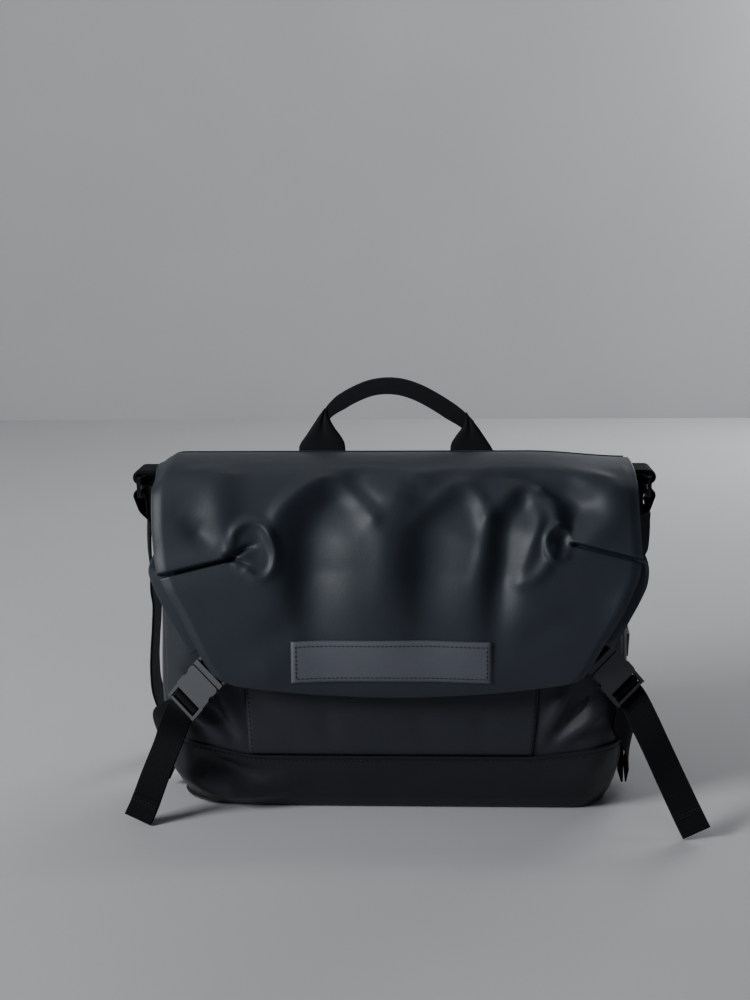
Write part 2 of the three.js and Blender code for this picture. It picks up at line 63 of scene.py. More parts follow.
BODY_SECTIONS = (  # height, half width, front, back
    (0, 190, -54, 50),
    (12, 196, -60, 56),
    (60, 202, -60, 57),
    (100, 204, -55, 57),
    (150, 205, -50, 56),
    (200, 207, -44, 53),
    (250, 208, -33, 46),
    (300, 206, -18, 37),
)
CORNER = 38  # radius of the body's upright corners
MOUTH = 285  # height of its open edge
BOOT = 52  # height of the base panel's seam
SEAM_X = 166  # the back panel's upright seams
FRONT_X = 198  # the front panel's upright seams
WEB_WIDTH = 25
WEB_THICKNESS = 1.6
STRAP_WIDTH = 38
STRAP_THICKNESS = 2.2
SIDES = (("left", -1), ("right", 1))

# ---- camera, light, floor


def linked(name, data):
    made = bpy.data.objects.new(name, data)
    bpy.context.collection.objects.link(made)
    return made


def add_camera():
    data = bpy.data.cameras.new("camera")
    data.sensor_fit = "VERTICAL"
    data.sensor_height = 36
    data.lens = 50
    camera = linked("camera", data)
    forward = Vector((-0.0392, 0.977, -0.208)).normalized()
    turn = forward.to_track_quat("-Z", "Y")
    roll = Matrix.Rotation(math.radians(-0.54), 4, "Z")
    camera.matrix_world = Matrix.Translation((0.0321, -1.186, 0.517)) @ turn.to_matrix().to_4x4() @ roll
    bpy.context.scene.camera = camera


def area_light(name, place, target, size, power, colour):
    data = bpy.data.lights.new(name, "AREA")
    data.shape = "RECTANGLE"
    data.size, data.size_y = size
    data.energy = power
    data.color = colour
    aim = (Vector(target) - Vector(place)).to_track_quat("-Z", "Y")
    linked(name, data).matrix_world = Matrix.Translation(place) @ aim.to_matrix().to_4x4()


def add_light():
    world = bpy.data.worlds.new("studio")
    bpy.context.scene.world = world
    world.use_nodes = True
    sky = world.node_tree.nodes["Background"]
    sky.inputs["Color"].default_value = (0.80, 0.88, 1.0, 1)
    sky.inputs["Strength"].default_value = 0.07
    area_light("key", (-2.3, -1.25, 1.35), (0, 0, 0.2), (0.9, 0.8), 72, (0.95, 0.98, 1.0))
    area_light("top", (-0.3, -0.3, 2.4), (0, 0, 0.2), (1.4, 1.0), 3, (0.93, 0.97, 1.0))
    area_light("fill", (1.0, -2.4, 1.0), (0, 0, 0.15), (1.2, 1.0), 1.2, (0.9, 0.95, 1.0))
    area_light("back", (1.3, 1.9, 0.9), (0, 0.1, 0.15), (1.2, 0.9), 22, (0.93, 0.97, 1.0))
    area_light("wall_wash", (0.4, 1.0, 2.6), (0.1, 2.2, 0.6), (1.6, 0.4), 14, (1.0, 0.99, 0.97))


def add_floor():
    half, wall_y, wall_top = 4.0, 2.2, 3.0
    corners = [(-half, -half, 0), (half, -half, 0), (half, wall_y, 0), (-half, wall_y, 0)]
    corners += [(half, wall_y, wall_top), (-half, wall_y, wall_top)]
    mesh = bpy.data.meshes.new("floor")
    mesh.from_pydata(corners, [], [(0, 1, 2, 3), (3, 2, 4, 5)])
    mesh.materials.append(floor_material())
    linked("floor", mesh)


# ---- materials


class Shader:
    """A node material with a Principled shader, and short ways to wire it."""

    def __init__(self, name, roughness, **constants):
        self.material = bpy.data.materials.new(name)
        self.material.use_nodes = True
        self.tree = self.material.node_tree
        self.principled = self.tree.nodes["Principled BSDF"]
        self.principled.inputs["Roughness"].default_value = roughness
        for key, value in constants.items():
            self.principled.inputs[key.replace("_", " ")].default_value = value

    def node(self, kind, inputs=(), **settings):
        made = self.tree.nodes.new("ShaderNode" + kind)
        for key, value in settings.items():
            setattr(made, key, value)
        for key, value in dict(inputs).items():
            if isinstance(value, bpy.types.NodeSocket):
                self.tree.links.new(value, made.inputs[key])
            else:
                made.inputs[key].default_value = value
        return made

    def link(self, socket, key):
        self.tree.links.new(socket, self.principled.inputs[key])

    def place(self):
        return self.node("TexCoord").outputs["Object"]

    def noise(self, scale, detail=3.0, rough=0.5):
        inputs = {"Vector": self.place(), "Scale": scale, "Detail": detail, "Roughness": rough}
        return self.node("TexNoise", inputs).outputs["Fac"]

    def math(self, operation, a, b=0.0):
        return self.node("Math", {0: a, 1: b}, operation=operation).outputs[0]

    def spread(self, value, low, high):
        return self.node("MapRange", {"Value": value, "To Min": low, "To Max": high}).outputs[0]

    def tint(self, value, dark, light):
        made = self.node("Mix", {"Factor": value}, data_type="RGBA")
        made.inputs[6].default_value = (*dark, 1)
        made.inputs[7].default_value = (*light, 1)
        return made.outputs[2]

    def bump(self, height, distance, strength=1.0, after=None):
        inputs = {"Height": height, "Distance": distance, "Strength": strength}
        made = self.node("Bump", inputs)
        if after is not None:
            self.tree.links.new(after, made.inputs["Normal"])
        return made.outputs["Normal"]


def coated_material(name, dark, light, roughness=0.5, grain=0.00012):
    """Matte polyurethane coating: fine pebbled grain, a little cloudy, uneven gloss."""
    s = Shader(name, roughness, Specular_IOR_Level=0.36)
    cloud = s.noise(14, 4, 0.6)
    s.link(s.tint(cloud, dark, light), "Base Color")
    pebble = s.node("TexVoronoi", {"Vector": s.place(), "Scale": 900.0}, feature="SMOOTH_F1")
    fine = s.noise(2600, 2)
    s.link(s.spread(s.noise(60, 3), roughness - 0.05, roughness + 0.07), "Roughness")
    grainy = s.bump(pebble.outputs["Distance"], grain, 0.5)
    soft = s.bump(s.noise(55, 3, 0.55), 0.0006, 0.35, grainy)
    s.link(s.bump(fine, grain * 0.5, 0.4, soft), "Normal")
    return s.material


PICKS_PER_METRE = 900


def webbing_material(name, dark, light):
    """Webbing: its ribs are in the mesh, and this adds the weave across them, from the strap's UV."""
    s = Shader(name, 0.8, Specular_IOR_Level=0.14, Sheen_Weight=0.02, Sheen_Roughness=0.4)
    where = s.node("UVMap", uv_map="strap").outputs["UV"]
    parts = s.node("SeparateXYZ", {"Vector": where})
    picks = s.math("SINE", s.math("MULTIPLY", parts.outputs["Y"], 2 * math.pi * PICKS_PER_METRE))
    picks = s.math("ADD", s.math("MULTIPLY", picks, 0.5), 0.5)
    fuzz = s.noise(700, 4, 0.7)
    s.link(s.tint(s.math("MULTIPLY", picks, fuzz), dark, light), "Base Color")
    weave = s.bump(picks, 0.00025, 0.6)
    s.link(s.bump(fuzz, 0.0002, 0.5, weave), "Normal")
    return s.material


def cloth_material(name, dark, light):
    s = Shader(name, 0.85, Specular_IOR_Level=0.25, Sheen_Weight=0.2, Sheen_Roughness=0.5)
    bands = {"Vector": s.place(), "Scale": 420.0, "Distortion": 0.6}
    wave = s.node("TexWave", bands, wave_type="BANDS", bands_direction="DIAGONAL")
    cloud = s.noise(40, 4, 0.6)
    s.link(s.tint(s.math("MULTIPLY", wave.outputs["Fac"], cloud), dark, light), "Base Color")
    s.link(s.bump(wave.outputs["Fac"], 0.0002, 0.6), "Normal")
    return s.material


def plastic_material(name, dark, light):
    s = Shader(name, 0.45, Specular_IOR_Level=0.9)
    s.link(s.tint(s.noise(30, 3), dark, light), "Base Color")
    s.link(s.spread(s.noise(220, 4, 0.6), 0.42, 0.55), "Roughness")
    s.link(s.bump(s.noise(2400, 2), 0.00005, 0.35), "Normal")
    return s.material


def metal_material(name):
    s = Shader(name, 0.3, Metallic=0.75, Specular_IOR_Level=0.5)
    s.link(s.tint(s.noise(160, 4, 0.7), (0.012, 0.013, 0.015), (0.026, 0.027, 0.03)), "Base Color")
    s.link(s.spread(s.noise(400, 4, 0.7), 0.24, 0.42), "Roughness")
    s.link(s.bump(s.noise(1500, 3), 0.00004, 0.4), "Normal")
    return s.material


def floor_material():
    s = Shader("floor_paper", 0.85, Specular_IOR_Level=0.2)
    s.link(s.tint(s.noise(3, 3), (0.50, 0.50, 0.51), (0.56, 0.56, 0.57)), "Base Color")
    return s.material


COATED = coated_material("coated_fabric", (0.0205, 0.0255, 0.0345), (0.026, 0.032, 0.043))
# Painted shade: the body walls and pocket get a darker copy of the flap's coated fabric, standing in for
# the shade they lie in.
COATED_SHADED = coated_material("coated_fabric_body_painted_shade", (0.016, 0.018, 0.023), (0.021, 0.023, 0.030))
# Painted shade: the base panel gets a still darker copy of the coated fabric, standing in for the deep
# shade on its low wall.
COATED_BASE_SHADED = coated_material("coated_fabric_base_painted_shade", (0.0080, 0.0095, 0.0125), (0.012, 0.014, 0.018), 0.42)
PATCH = coated_material("patch_skin", (0.088, 0.092, 0.112), (0.105, 0.108, 0.130), 0.55, 0.0001)
WEBBING = webbing_material("webbing", (0.0028, 0.003, 0.0037), (0.0125, 0.0132, 0.016))
WEBBING_FINE = webbing_material("handle_webbing", (0.010, 0.011, 0.013), (0.020, 0.021, 0.025))
LINING = cloth_material("lining_cloth", (0.014, 0.015, 0.017), (0.032, 0.033, 0.037))
PLASTIC = plastic_material("buckle_plastic", (0.020, 0.022, 0.027), (0.027, 0.030, 0.037))
METAL = metal_material("black_metal")
BOARD = plastic_material("stiffener", (0.03, 0.03, 0.03), (0.04, 0.04, 0.04))
THREAD = cloth_material("thread", (0.005, 0.005, 0.006), (0.012, 0.012, 0.014))

# ---- mesh helpers


def unit(v):
    v = np.asarray(v, float)
    return v / np.maximum(np.linalg.norm(v, axis=-1, keepdims=True), 1e-12)


def smoothstep(x, low, high):
    t = np.clip((np.asarray(x, float) - low) / (high - low), 0, 1)
    return t * t * (3 - 2 * t)


def make_object(name, points, faces, *materials):
    """A smooth-shaded mesh object in metres, from points in millimetres."""
    mesh = bpy.data.meshes.new(name)
    places = (np.asarray(points, float) * MM).tolist()
    mesh.from_pydata(places, [], [tuple(int(i) for i in f) for f in faces])
    mesh.validate()
    for material in materials:
        mesh.materials.append(material)
    mesh.polygons.foreach_set("use_smooth", [True] * len(mesh.polygons))
    return linked(name, mesh)


def grid_faces(rows, columns, wrap=False, first=0):
    """Quads of a grid whose rows hold `columns` points; wrap joins each row's end to its start."""
    r = np.arange(rows - 1)[:, None]
    c = np.arange(columns if wrap else columns - 1)[None, :]
    n = (c + 1) % columns
    a = first + r * columns
    quads = np.stack([a + c, a + n, a + columns + n, a + columns + c], axis=-1)
    return quads.reshape(-1, 4)


def with_floor(rows, height):
    """Points and faces of closed rows, shut below by a fan at that height."""
    columns = rows.shape[1]
    points = np.vstack([rows.reshape(-1, 3), [[0, -2, height]]])
    faces = grid_faces(len(rows), columns, wrap=True).tolist()
    faces += [[len(points) - 1, (i + 1) % columns, i] for i in range(columns)]
    return points, faces


def shell(name, x, z, y_front, y_back, material):
    """A closed piece between its front and back, two grids over the same x and z."""
    rows, columns = x.shape
    count = rows * columns
    faces = grid_faces(rows, columns).tolist()
    faces += [[count + i for i in quad[::-1]] for quad in faces]
    rim = list(range(columns)) + [r * columns + columns - 1 for r in range(1, rows)]
    rim += [count - 1 - i for i in range(1, columns)] + [r * columns for r in range(rows - 2, 0, -1)]
    for a, b in zip(rim, rim[1:] + rim[:1]):
        faces.append([b, a, count + a, count + b])
    points = [np.stack([x, y, z], axis=-1).reshape(-1, 3) for y in (y_front, y_back)]
    return make_object(name, np.vstack(points), faces, material)


def modifier(made, kind, **settings):
    added = made.modifiers.new(kind.lower(), kind)
    for key, value in settings.items():
        setattr(added, key, value)


def solidify(made, thickness, offset=-1, **settings):
    modifier(made, "SOLIDIFY", thickness=thickness * MM, offset=offset, **settings)


def cloth(name, grid, thickness, material, offset=-1):
    """A sheet of that thickness over a grid of points."""
    made = make_object(name, grid.reshape(-1, 3), grid_faces(*grid.shape[:2]), material)
    solidify(made, thickness, offset)
    return made


def assign(made, body, slot, *nodes):
    """Puts a piece on its body and hides the CAD nodes it stands for; the slot it is given is not used.
    """
    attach(made, body)
    if nodes:
        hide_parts(*nodes)


def strap_uv(made, across, along):
    """Stores the strap's own coordinates, across it from 0 to 1 and along it in metres."""
    layer = made.data.uv_layers.new(name="strap")
    picks = np.empty(len(made.data.loops), int)
    made.data.loops.foreach_get("vertex_index", picks)
    layer.data.foreach_set("uv", np.stack([across[picks], along[picks]], axis=-1).ravel())


CURVE_STEPS = 24  # points laid between two given ones


def curve(points, count):
    """Evenly spaced points on a centripetal Catmull-Rom curve through the points."""
    p = np.asarray(points, float)
    p = np.vstack([2 * p[0] - p[1], p, 2 * p[-1] - p[-2]])
    dense = []
    for a, b, c, d in zip(p[:-3], p[1:-2], p[2:-1], p[3:]):
        t1 = math.sqrt(np.linalg.norm(b - a))
        t2 = t1 + math.sqrt(np.linalg.norm(c - b))
        t3 = t2 + math.sqrt(np.linalg.norm(d - c))
        t = np.linspace(t1, t2, CURVE_STEPS, endpoint=False)[:, None]
        ab = (t1 - t) / t1 * a + t / t1 * b
        bc = (t2 - t) / (t2 - t1) * b + (t - t1) / (t2 - t1) * c
        cd = (t3 - t) / (t3 - t2) * c + (t - t2) / (t3 - t2) * d
        abc = (t2 - t) / t2 * ab + t / t2 * bc
        bcd = (t3 - t) / (t3 - t1) * bc + (t - t1) / (t3 - t1) * cd
        dense.append((t2 - t) / (t2 - t1) * abc + (t - t1) / (t2 - t1) * bcd)
    return evenly(np.vstack([*dense, p[-2:-1]]), count)


def run_along(line):
    """The distance along a line at each of its points."""
    return np.concatenate([[0], np.cumsum(np.linalg.norm(np.diff(line, axis=0), axis=1))])


def evenly(line, count):
    line = np.asarray(line, float)
    run = run_along(line)
    at = np.linspace(0, run[-1], count)
    return np.stack([np.interp(at, run, line[:, k]) for k in range(line.shape[1])], axis=-1)


def closed(line):
    return np.vstack([line, line[:1]])


def strap_section(width, thickness, ribs, depth=0.22):
    """A strap's cross-section: ribs on both faces and rounded edges, counter-clockwise."""
    steps = 4 * ribs
    s = np.linspace(-0.5, 0.5, steps + 1)
    round_off = np.clip(1 - ((np.abs(s) - 0.47) / 0.03).clip(0) ** 2, 0.15, 1)
    ripple = depth * (0.5 - 0.5 * np.cos(2 * np.pi * ribs * (s + 0.5)))
    height = (thickness / 2 - depth + ripple) * round_off
    lower = np.stack([s * width, -height], axis=-1)
    upper = np.stack([s * width, height], axis=-1)[::-1]
    return np.vstack([lower, upper])


def flat_section(width, thickness, steps=8):
    """A rounded flat cross-section, counter-clockwise."""
    angle = np.linspace(0, 2 * np.pi, 4 * steps, endpoint=False)
    power = 0.28
    x = np.sign(np.cos(angle)) * np.abs(np.cos(angle)) ** power
    y = np.sign(np.sin(angle)) * np.abs(np.sin(angle)) ** power
    return np.stack([x * width / 2, y * thickness / 2], axis=-1)


def sweep(name, centres, across, section, material, widen=1, thicken=1):
    """A closed solid swept along the centres, with the section's first axis along `across`."""
    centres = np.asarray(centres, float)
    count = len(centres)
    along = unit(np.gradient(centres, axis=0))
    across = np.broadcast_to(np.asarray(across, float), centres.shape)
    side = unit(across - (across * along).sum(1, keepdims=True) * along)
    up = np.cross(along, side)
    wide, thick = (np.broadcast_to(v, count)[:, None, None] for v in (widen, thicken))
    rows = centres[:, None] + side[:, None] * (section[:, :1] * wide)
    rows = rows + up[:, None] * (section[:, 1:] * thick)
    columns = len(section)
    faces = grid_faces(count, columns, wrap=True).tolist()
    faces.append(list(range(columns))[::-1])
    faces.append([(count - 1) * columns + i for i in range(columns)])
    made = make_object(name, rows.reshape(-1, 3), faces, material)
    share = section[:, 0] / np.ptp(section[:, 0]) + 0.5
    strap_uv(made, np.tile(share, count), np.repeat(run_along(centres) * MM, columns))
    return made


def lerp_directions(count, *stops):
    """Unit directions blended between (share of the way, direction) stops."""
    t = np.linspace(0, 1, count)
    places = [stop[0] for stop in stops]
    rows = np.array([stop[1] for stop in stops], float)
    return unit(np.stack([np.interp(t, places, rows[:, k]) for k in range(3)], axis=-1))


STITCHES = {}  # points and faces of the stitches by body


def stitch_line(group, line, normals, pitch=4.0, length=2.9, thick=0.75):
    """Stitches along a line in mm, each a small rounded bar lying on the surface."""
    line = np.asarray(line, float)
    run = run_along(line)
    count = max(1, int(run[-1] // pitch))
    middles = (np.arange(count) + 0.5) * run[-1] / count
    normals = np.broadcast_to(np.asarray(normals, float), line.shape)

    def at(values, where):
        return np.stack([np.interp(where, run, values[:, k]) for k in range(3)], axis=-1)

    centre = at(line, middles)
    up = unit(at(normals, middles))
    along = unit(at(line, middles + 0.5) - at(line, middles - 0.5))
    side = np.cross(up, along)
    lift, arch_height, sides = 0.15, 0.18, 6
    angles = np.linspace(0, 2 * np.pi, sides, endpoint=False)
    stations = [(-0.5, 0.35), (-0.3, 0.95), (0.3, 0.95), (0.5, 0.35)]  # place, share of the thickness
    points, faces = STITCHES.setdefault(group, ([], []))
    for c, u, a, s in zip(centre, up, along, side):
        first = len(points)
        for t, r in stations:
            arch = lift + arch_height * (1 - (2 * t) ** 2)
            for angle in angles:
                ring = math.cos(angle) * s + math.sin(angle) * u
                points.append(c + a * t * length + u * arch + ring * r * thick / 2)
        for quad in grid_faces(len(stations), sides, wrap=True, first=first).tolist():
            faces.append(quad[::-1])
        faces.append([first + i for i in range(sides)])
        faces.append([len(points) - sides + i for i in range(sides)][::-1])


def add_stitches():
    for body, (points, faces) in STITCHES.items():
        assign(make_object(f"stitching_{body}", points, faces, THREAD), body, "webbing")


# ---- body


def section_at(z):
    """Half width, front and back of the body at heights z."""
    table = np.array(BODY_SECTIONS, float)
    z = np.asarray(z, float)
    smooth = []
    for column in (1, 2, 3):
        near = [np.interp(z + offset, table[:, 0], table[:, column]) for offset in (-14, -7, 0, 7, 14)]
        smooth.append(np.average(near, axis=0, weights=(1, 2, 3, 2, 1)))
    return smooth


FRONT_STEPS = 96
SIDE_STEPS = 12
CORNER_STEPS = 16


def body_ring(z):
    """Points and outward normals round the body at height z, from the middle of the back."""
    half, front, back = (float(v) for v in section_at(z))
    radius = min(CORNER, (back - front) / 2 - 1)
    rx = half - radius
    y1, y0 = back - radius, front + radius
    points, normals = [], []

    def straight(start, end, normal, steps):
        for t in np.linspace(0, 1, steps, endpoint=False):
            points.append(np.array(start) * (1 - t) + np.array(end) * t)
            normals.append(normal)

    def corner(cx, cy, start):
        for t in np.linspace(0, 1, CORNER_STEPS, endpoint=False):
            angle = math.radians(start + 90 * t)
            direction = np.array([math.cos(angle), math.sin(angle)])
            points.append(np.array([cx, cy]) + radius * direction)
            normals.append(direction)

    straight((0, y1 + radius), (-rx, y1 + radius), (0, 1), FRONT_STEPS // 2)
    corner(-rx, y1, 90)
    straight((-rx - radius, y1), (-rx - radius, y0), (-1, 0), SIDE_STEPS)
    corner(-rx, y0, 180)
    straight((-rx, y0 - radius), (rx, y0 - radius), (0, -1), FRONT_STEPS)
    corner(rx, y0, 270)
    straight((rx + radius, y0), (rx + radius, y1), (1, 0), SIDE_STEPS)
    corner(rx, y1, 0)
    straight((rx, y1 + radius), (0, y1 + radius), (0, 1), FRONT_STEPS // 2)
    points, normals = np.array(points), np.array(normals, float)
    flat = np.full((len(points), 1), float(z))
    return np.hstack([points, flat]), np.hstack([normals, flat * 0])


def bump_at(x, z, cx, cz, rx, rz, turn=0.0):
    """A round hill of height 1 at (cx, cz), with radii rx and rz, turned by `turn` degrees."""
    c, s = math.cos(math.radians(turn)), math.sin(math.radians(turn))
    u, v = x - cx, z - cz
    return np.exp(-(((u * c + v * s) / rx) ** 2) - ((-u * s + v * c) / rz) ** 2)


# How a fold's height fades: its shares at the start, middle and end of the line.
LONG = (0.8, 1, 0.15)
FADING = (0.2, 1, 0.2)


def fold(x, z, height, left, right, fade, points):
    """A ridge, or a valley if its height is below 0, with radii on its line's left and right."""
    nearest = np.full(x.shape, 1e9)
    value = np.zeros(x.shape)
    p = curve(points, 6 * len(points))
    lengths = np.linalg.norm(np.diff(p, axis=0), axis=1)
    before = 0.0
    for a, b, length in zip(p[:-1], p[1:], lengths):
        d = (b - a) / length
        along = (x - a[0]) * d[0] + (z - a[1]) * d[1]
        t = np.clip(along, 0, length)
        side = d[0] * (z - a[1]) - d[1] * (x - a[0])
        away = (x - a[0] - t * d[0]) ** 2 + (z - a[1] - t * d[1]) ** 2
        share = (before + t) / lengths.sum()
        blend = 0.5 + 0.5 * np.tanh(side / (0.35 * min(left, right)))
        radius = right + (left - right) * blend
        size = np.interp(share, (0, 0.5, 1), fade)
        closer = away < nearest
        value = np.where(closer, size * np.exp(-away / radius**2), value)
        nearest = np.where(closer, away, nearest)
        before += length
    return height * value


# Folds, each as height, radius on the left and right of its line, fade, line (x, z).
BODY_FOLDS = (  # beside the pocket, on both sides of it
    (5.0, 5, 8, (0.6, 1, 0.3), ((160, 122), (147, 100), (138, 82), (131, 66))),
    (-4.5, 6, 6, (0.3, 1, 0.4), ((178, 112), (164, 92), (150, 78), (138, 68))),
    (4.5, 5, 7, (0.3, 1, 0.5), ((196, 92), (178, 82), (162, 72), (146, 62))),
    (-2.5, 5, 6, FADING, ((192, 74), (176, 66), (160, 60))),
)
BOOT_FOLDS = (
    (12, 13, 9, (0.4, 1, 0.1), ((-196, 24), (-150, 15), (-112, 17), (-84, 26))),
    (-6.0, 8, 8, FADING, ((-176, 46), (-138, 36), (-106, 36))),
    (2.0, 9, 9, FADING, ((186, 44), (160, 30), (130, 22))),
)


def body_relief(p, n):
    """How far the soft body stands out (+) or in (-) of its plain form, in mm."""
    x, y, z = p[:, 0], p[:, 1], p[:, 2]
    front = np.clip(-n[:, 1], 0, 1)
    back = np.clip(n[:, 1], 0, 1)
    side = np.abs(n[:, 0])
    relief = np.zeros(len(p))
    for _, sign in SIDES:
        for row in BODY_FOLDS:
            relief += front * fold(sign * x, z, *row)
    relief -= side * 4.0 * bump_at(y, z, 0, 190, 26, 70)
    relief += side * 2.0 * bump_at(y, z, 4, 90, 40, 50)
    relief += back * 2.5 * bump_at(x, z, 0, 150, 150, 90)
    return relief


def boot_relief(p, n):
    """The same for the base panel, whose wall leans out from the ground to its seam."""
    x, z = p[:, 0], p[:, 2]
    front = np.clip(-n[:, 1], 0, 1)
    relief = 4.5 * smoothstep(z, 0, 46) - 3.5
    for row in BOOT_FOLDS:
        relief += front * fold(x, z, *row)
    relief -= front * 1.2 * bump_at(x, z, 10, 30, 60, 12, 8)
    return relief


def seam_lift(x, z):
    """How far the base seam and what lies round it is raised towards the ends of the bag."""
    ends = 15 * smoothstep(-x, 110, 196) + 9 * smoothstep(x, 110, 196)
    curl = 9 * smoothstep(-x, 90, 205) ** 1.5 * (1 - smoothstep(z, 0, BOOT))
    return curl + ends * np.where(z < BOOT, z / BOOT, np.clip((MOUTH - z) / (MOUTH - BOOT), 0, 1))


def body_surface(heights, outset, relief):
    """Rows of points and normals round the body, one for each height."""
    rows, normals = [], []
    for z, out in zip(heights, np.broadcast_to(outset, np.shape(heights))):
        p, n = body_ring(z)
        row = p + n * (out + relief(p, n))[:, None]
        row[:, 2] += seam_lift(p[:, 0], p[:, 2])
        rows.append(row)
        normals.append(n)
    return np.array(rows), np.array(normals)


def add_boot():
    """The base panel: floor, rounded lower edge, wall and the turned edge at its seam."""
    foot, edge = [0.0, 0.0, 0.4, 1.6, 3.6, 6.5], [BOOT - 1, BOOT, BOOT - 0.4]
    heights = np.concatenate([foot, np.arange(10, BOOT - 1, 2.0), edge])
    outset = np.full(len(heights), 0.9)
    outset[:6] = (-30, -6, -3.4, -1.4, -0.4, 0)
    outset[-3:] = (1.9, 1.3, -0.8)
    rows, _ = body_surface(heights, outset, boot_relief)
    # The base panel uses the darkest copy of the coated fabric, which paints its shade.
    boot = make_object("boot", *with_floor(rows, 0), COATED_BASE_SHADED)
    solidify(boot, 1.5)
    assign(boot, "root", "coated_fabric", "base_panel")
    seam, out = body_surface([BOOT - 4.2], 1.3, boot_relief)
    stitch_line("root", closed(seam[0]), closed(out[0]))


def panel(name, node, kept):
    """One wall of the body between its seams, made of the kept columns of the body's rings."""
    heights = np.concatenate([np.arange(BOOT - 4, MOUTH - 2, 3.0), [MOUTH - 1.5, MOUTH, MOUTH + 0.5]])
    outset = np.zeros(len(heights))
    outset[-2:] = (-0.3, -1.0)
    rows, _ = body_surface(heights, outset, body_relief)
    chosen = np.flatnonzero(kept)
    gaps = np.flatnonzero(np.diff(chosen) > 1)
    if len(gaps):  # the wall crosses the place where the rings start
        chosen = np.roll(chosen, -gaps[0] - 1)
    # The walls use the darker copy of the coated fabric, which paints shade on them.
    assign(cloth(name, rows[:, chosen], 1.4, COATED_SHADED), "root", "coated_fabric", node)


def widened(kept):
    """The kept columns and the next one on each side, so that walls meet."""
    return kept | np.roll(kept, 1) | np.roll(kept, -1)


def add_body():
    add_boot()
    ring, _ = body_ring(150)
    x, y = ring[:, 0], ring[:, 1]
    middle = np.abs(x) < np.where(y < 0, FRONT_X, SEAM_X)
    panel("front_wall", "front_panel", widened(middle & (y < 0)))
    panel("back_wall", "back_panel", widened(middle & (y > 0)))
    panel("side_wall_left", "gusset_left", ~middle & (x < 0))
    panel("side_wall_right", "gusset_right", ~middle & (x > 0))


POCKET_TOP = 196
POCKET_SIDE = {  # height, half width
    "left": ((52, 124.5), (75, 125.5), (110, 128)),
    "right": ((52, 121), (75, 124), (110, 126.5)),
}
POCKET_DENTS = (
    (-1.0, 9, 9, FADING, ((-60, 100), (-52, 60))),
    (-0.8, 11, 11, FADING, ((20, 104), (30, 60))),
    (-0.8, 9, 9, FADING, ((80, 104), (74, 62))),
)


def add_pocket():
    """The front pocket: a panel sewn on at its sides and foot, open at the top under the flap."""
    z = np.linspace(BOOT + 0.5, POCKET_TOP, 60)[:, None]
    s = np.linspace(-1, 1, 161)[None, :]
    reach = {side: np.interp(z, *np.array(line).T) for side, line in POCKET_SIDE.items()}
    half = np.where(s < 0, reach["left"], reach["right"])
    x, zz = s * half, np.broadcast_to(z, half.shape)
    _, front, _ = section_at(z)
    from_edge = (1 - np.abs(s)) * half
    rise = 0.4 + 2.4 * (1 - np.exp(-((from_edge / 2.2) ** 2)))
    rise *= smoothstep(z, BOOT - 2, BOOT + 6) * 0.8 + 0.2
    rise += 1.6 * bump_at(x, zz, -20, 120, 90, 60)
    for row in POCKET_DENTS:
        rise += fold(x, zz, *row)
    points = np.stack([x, front - rise, zz], axis=-1)
    # The pocket uses the darker copy of the coated fabric, which paints shade on it.
    assign(cloth("pocket", points, 1.3, COATED_SHADED), "root", "coated_fabric", "pocket_panel")
    seam_rows, seam_column = 44, 2
    for column in (seam_column, -1 - seam_column):
        stitch_line("root", points[:seam_rows, column], (0, -1, 0))


# ---- flap

FLAP_PROFILE = (
    (41.7, 299), (20, 303.4), (-5, 302.4), (-25, 296), (-42, 280), (-58, 250),
    (-68, 215), (-76, 180), (-80, 150), (-79, 125), (-75, 107),
)
FLAP_THICK = 2.4
FLAP_TOP_HALF = 206.0
FLAP_FOOT = 110.5  # height of the lower edge's middle
FLAP_FOOT_RISE = 0.0006  # how fast it rises towards the sides, per mm squared
FLAP_LINE = 600  # points along the flap's middle line
FLAP_FRONT = 200  # its points from here on run down the front
WIDE_FOLD = 19  # folds with radii that add up to more than this are softened twice

VALLEYS = (
    (-15, 32, 17, LONG, ((-49, 276), (-65, 255), (-71, 233), (-70, 205), (-66, 176), (-62, 150))),
    (-11, 30, 18, LONG, ((55, 272), (36, 255), (32, 232), (30, 205), (29, 172), (28, 150))),
    (-11, 13, 11, LONG, ((111, 272), (97, 256), (93, 234), (90, 206), (87, 172), (86, 150))),
    (-8, 8, 12, (0.5, 1, 0.6), ((93, 303), (112, 294), (129, 287), (152, 279), (165, 272))),
    (-9, 10, 12, (0.6, 1, 0.6), ((146, 280), (153, 268), (153, 256), (148, 248))),
    (-2.5, 7, 8, FADING, ((-35, 291), (-22, 277), (-6, 263))),
    (-2, 6, 6, FADING, ((6, 288), (21, 283), (39, 279))),
    (-3, 12, 9, FADING, ((-113, 163), (-92, 169), (-69, 178))),
    (-2.5, 12, 12, FADING, ((96, 156), (124, 170), (164, 190))),
    (-3.5, 9, 9, FADING, ((-177, 262), (-165, 252), (-147, 238))),
)
